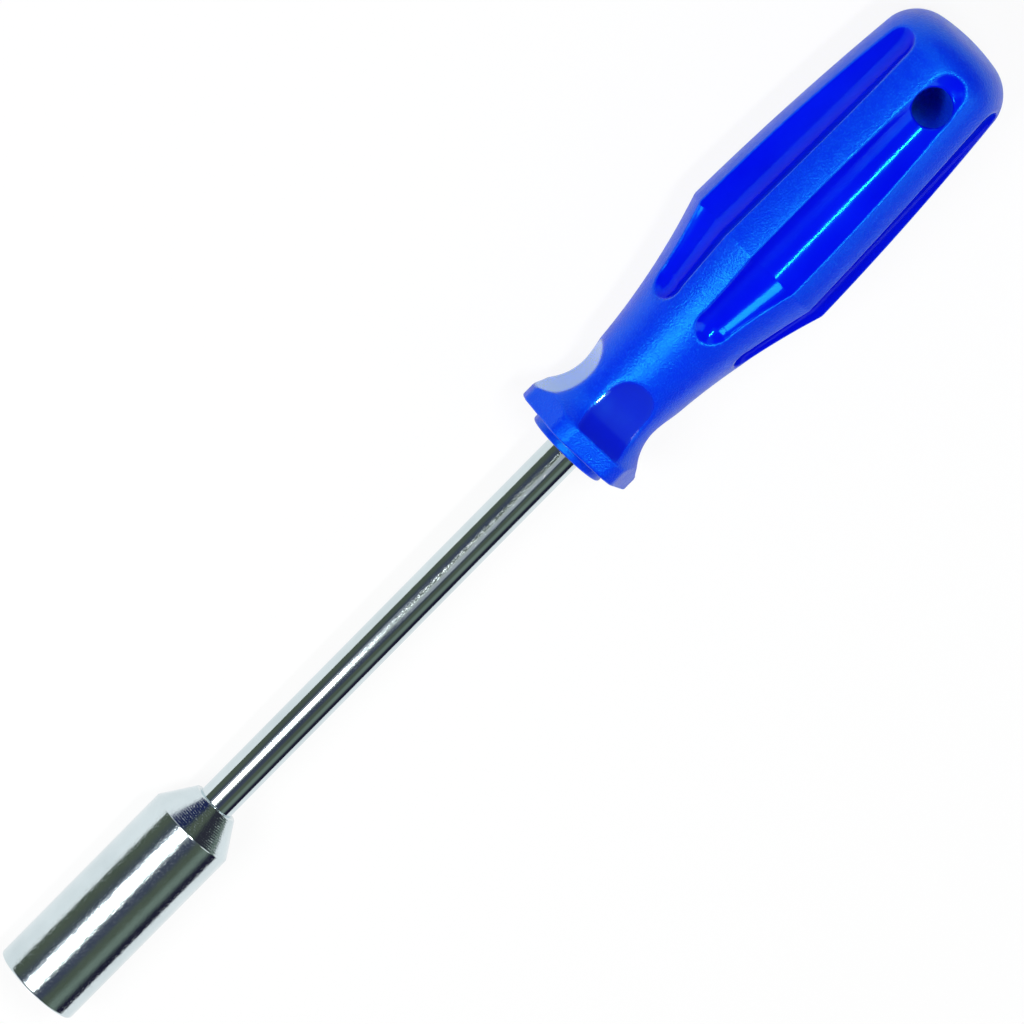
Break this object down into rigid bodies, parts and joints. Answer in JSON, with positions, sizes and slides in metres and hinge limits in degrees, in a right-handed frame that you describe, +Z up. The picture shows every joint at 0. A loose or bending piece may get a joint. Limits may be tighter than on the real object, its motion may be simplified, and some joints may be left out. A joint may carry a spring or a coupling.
{
  "type": "nut driver",
  "caption": "Fixed nut driver: a long hexagon socket head on a plated round shaft, moulded into a waisted, fluted plastic handle with an anti-roll guard and a hanging hole.",
  "frame": {"origin": "centre of the socket's mouth, on the tool's axis", "axes": "+X along the tool's axis from the mouth to the rear end of the handle; +Z up along the hanging hole; +Y across the tool"},
  "size_m": [0.2178, 0.0288, 0.0274],
  "materials": {
    "handle_plastic": "satin ribs with polished flutes and scoops",
    "shaft_plating": "bright plated, drawn rod",
    "socket_plating": "bright plated, turned"
  },
  "bodies": {
    "root": {"handle": "handle_plastic", "shaft": "shaft_plating", "socket": "socket_plating"}
  },
  "joints": []
}
